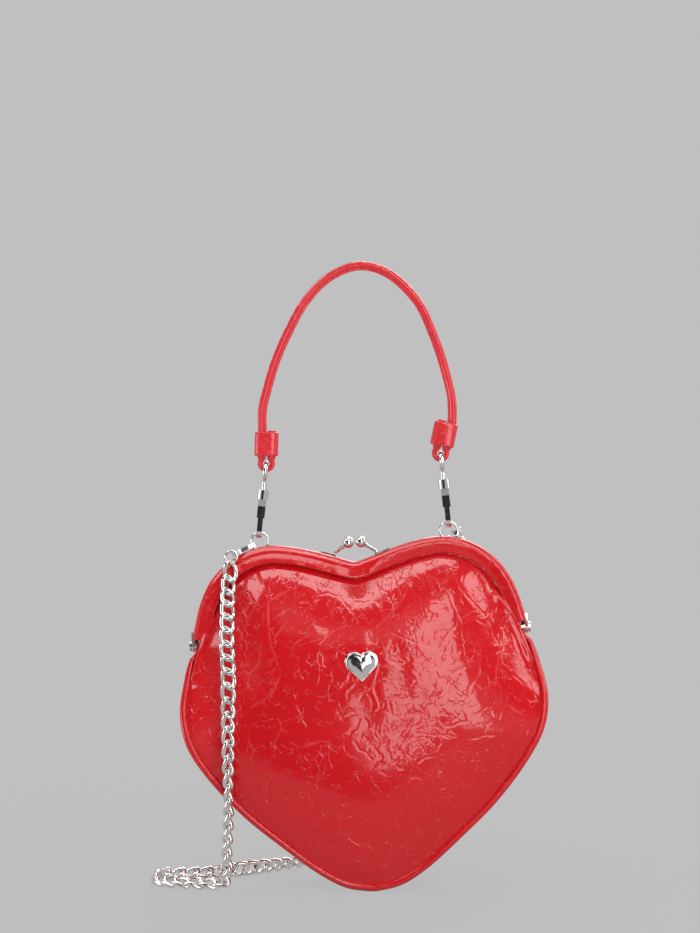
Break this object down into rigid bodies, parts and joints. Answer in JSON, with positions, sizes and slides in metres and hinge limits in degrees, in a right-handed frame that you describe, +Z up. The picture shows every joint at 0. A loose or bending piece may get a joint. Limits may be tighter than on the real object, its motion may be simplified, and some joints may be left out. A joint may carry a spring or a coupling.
{
  "type": "heart shaped kiss-lock handbag",
  "caption": "Heart shaped frame handbag of glossy red leather with a kiss-lock clasp, a rolled top handle on swivel snap hooks and a clip-on curb chain strap.",
  "frame": {"origin": "the point of the top handle that the bag is held by, in the middle of the rolled leather; the bag hangs below it", "axes": "+X to the right along the frame as the front is seen, +Y from the front panel to the back panel, +Z up. The bag leans 3.3 degrees about Y, as it hangs in the picture"},
  "size_m": [0.2165, 0.1369, 0.3411],
  "materials": {
    "bag_leather": "glossy crinkled leather",
    "piping_leather": "glossy",
    "handle_leather": "glossy smooth",
    "lining_fabric": "matte woven",
    "frame_steel": "plated",
    "polished_metal": "polished silver",
    "chain_metal": "polished silver"
  },
  "bodies": {
    "handle": {"handle_leather": "handle_leather", "handle_collar_left": "handle_leather", "handle_collar_right": "handle_leather"},
    "eye_left": {"hook_eye_left": "polished_metal"},
    "eye_right": {"hook_eye_right": "polished_metal"},
    "hook_left": {"hook_body_left": "polished_metal", "hook_pin_left": "polished_metal"},
    "hook_right": {"hook_body_right": "polished_metal", "hook_pin_right": "polished_metal"},
    "lever_left": {"hook_lever_left": "polished_metal"},
    "lever_right": {"hook_lever_right": "polished_metal"},
    "ring_left": {"ring_left": "polished_metal"},
    "ring_right": {"ring_right": "polished_metal"},
    "bag": {"back_panel": "bag_leather", "gusset": "bag_leather", "front_piping": "piping_leather", "back_piping": "piping_leather", "front_lining": "lining_fabric", "back_lining": "lining_fabric", "gusset_lining": "lining_fabric", "back_frame": "frame_steel", "back_frame_cover": "bag_leather", "hinge_rivet_left": "polished_metal", "hinge_rivet_right": "polished_metal", "back_clasp_arm": "polished_metal", "back_clasp_ball": "polished_metal", "badge": "polished_metal", "chain_clasp_left": "polished_metal", "chain_clasp_right": "polished_metal", "chain_ring_left": "polished_metal", "chain_ring_right": "polished_metal", "strap_chain": "chain_metal"},
    "front": {"front_panel": "bag_leather", "front_frame": "frame_steel", "front_frame_cover": "bag_leather", "front_clasp_arm": "polished_metal", "front_clasp_ball": "polished_metal"},
    "chain_lever_left": {"chain_lever_left": "polished_metal"},
    "chain_lever_right": {"chain_lever_right": "polished_metal"}
  },
  "joints": [
    {"name": "hook_swing_left", "type": "hinge", "parent": "handle", "child": "eye_left", "pos_m": [-0.05129, 0, -0.11149], "axis": [0.9983, 0, 0.0576], "range_deg": [-40, 40]},
    {"name": "hook_swivel_left", "type": "hinge", "parent": "eye_left", "child": "hook_left", "pos_m": [-0.05277, 0, -0.12634], "axis": [0.0993, 0, 0.9951], "range_deg": [-20, 20]},
    {"name": "hook_lever_left", "type": "hinge", "parent": "hook_left", "child": "lever_left", "pos_m": [-0.0536, 0.0009, -0.1347], "axis": [-0.9951, 0, 0.0993], "range_deg": [0, 16], "stiffness_Nm_per_rad": 0.01, "springref_deg": -11.46},
    {"name": "ring_turn_left", "type": "hinge", "parent": "eye_left", "child": "ring_left", "pos_m": [-0.05476, 0, -0.14624], "axis": [0.9983, 0, 0.0576], "range_deg": [-25, 25]},
    {"name": "hook_swing_right", "type": "hinge", "parent": "handle", "child": "eye_right", "pos_m": [0.04488, 0, -0.10594], "axis": [0.9983, 0, 0.0576], "range_deg": [-40, 40]},
    {"name": "hook_swivel_right", "type": "hinge", "parent": "eye_right", "child": "hook_right", "pos_m": [0.04648, 0, -0.1204], "axis": [-0.1097, 0, 0.994], "range_deg": [-20, 20]},
    {"name": "hook_lever_right", "type": "hinge", "parent": "hook_right", "child": "lever_right", "pos_m": [0.0474, 0.0009, -0.12875], "axis": [-0.994, 0, -0.1097], "range_deg": [0, 16], "stiffness_Nm_per_rad": 0.01, "springref_deg": -11.46},
    {"name": "ring_turn_right", "type": "hinge", "parent": "eye_right", "child": "ring_right", "pos_m": [0.04867, 0, -0.14028], "axis": [0.9983, 0, 0.0576], "range_deg": [-25, 25]},
    {"name": "bag_swing", "type": "hinge", "parent": "ring_left", "child": "bag", "pos_m": [-0.05421, 0, -0.15573], "axis": [0.9983, 0, 0.0576], "range_deg": [-20, 20], "deforming": ["strap_chain", "chain_clasp_left", "chain_clasp_right", "chain_ring_left", "chain_ring_right"]},
    {"name": "frame_open", "type": "hinge", "parent": "bag", "child": "front", "pos_m": [0.0004, 0, -0.20291], "axis": [0.9983, 0, 0.0576], "range_deg": [0, 50], "deforming": ["front_panel", "strap_chain", "chain_clasp_left", "chain_ring_left"]},
    {"name": "chain_lever_left", "type": "hinge", "parent": "bag", "child": "chain_lever_left", "pos_m": [-0.06383, -0.00176, -0.15561], "axis": [0.4431, 0, -0.8965], "range_deg": [0, 14], "stiffness_Nm_per_rad": 0.002, "springref_deg": -11.46},
    {"name": "chain_lever_right", "type": "hinge", "parent": "bag", "child": "chain_lever_right", "pos_m": [0.05159, 0.00561, -0.14592], "axis": [0.3206, 0, 0.9472], "range_deg": [0, 14], "stiffness_Nm_per_rad": 0.002, "springref_deg": -11.46}
  ],
  "couplings": [
    {"joint": "hook_swing_right", "follows": "hook_swing_left", "ratio": 1},
    {"joint": "ring_turn_right", "follows": "ring_turn_left", "ratio": 1}
  ]
}
